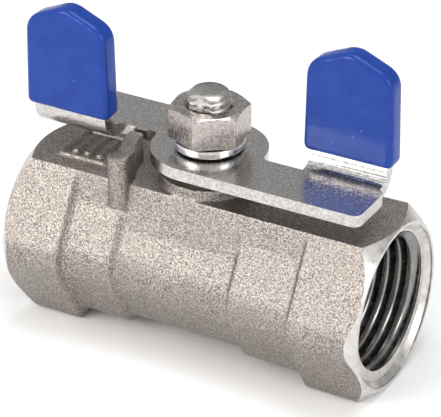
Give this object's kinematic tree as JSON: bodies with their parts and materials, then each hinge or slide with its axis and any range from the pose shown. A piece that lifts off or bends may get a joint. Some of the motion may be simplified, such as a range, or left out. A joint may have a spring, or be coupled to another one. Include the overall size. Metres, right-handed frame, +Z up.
{
  "type": "water shutoff valve",
  "caption": "One-piece stainless steel ball valve with female pipe threads at both ends and a blue butterfly handle, shown open.",
  "frame": {"origin": "below the middle of the body's length, on the plane its lower flat rests on", "axes": "+X along the pipe axis towards the outlet, +Y to the back, +Z up along the stem axis"},
  "size_m": [0.056, 0.0268, 0.0474],
  "materials": {
    "cast_steel": "bead-blasted stainless casting",
    "turned_steel": "turned, satin",
    "ball_steel": "polished",
    "stamped_steel": "satin sheet",
    "washer_steel": "polished spring steel",
    "nut_steel": "satin",
    "gland_steel": "turned, dull",
    "seal": "smooth PTFE",
    "vinyl": "dipped, glossy"
  },
  "bodies": {
    "valve_body": {"body": "cast_steel", "seat_retainer": "turned_steel", "retainer_gasket": "seal", "seat_outlet": "seal", "seat_inlet": "seal", "stem_thrust_washer": "seal", "packing_lower": "seal", "packing_middle": "seal", "packing_upper": "seal", "packing_gland": "gland_steel"},
    "handle_group": {"stem": "turned_steel", "handle": "stamped_steel", "grip_left": "vinyl", "grip_right": "vinyl", "lock_washer": "washer_steel", "stem_nut": "nut_steel"},
    "ball_group": {"ball": "ball_steel"}
  },
  "joints": [
    {"name": "handle_turn", "type": "hinge", "parent": "valve_body", "child": "handle_group", "pos_m": [-0.0011, 0, 0.028], "axis": [0, 0, 1], "range_deg": [-90, 0]},
    {"name": "ball_turn", "type": "hinge", "parent": "valve_body", "child": "ball_group", "pos_m": [-0.0011, 0, 0.01225], "axis": [0, 0, 1], "range_deg": [-90, 0]}
  ],
  "couplings": [
    {"joint": "ball_turn", "follows": "handle_turn", "ratio": 1}
  ]
}
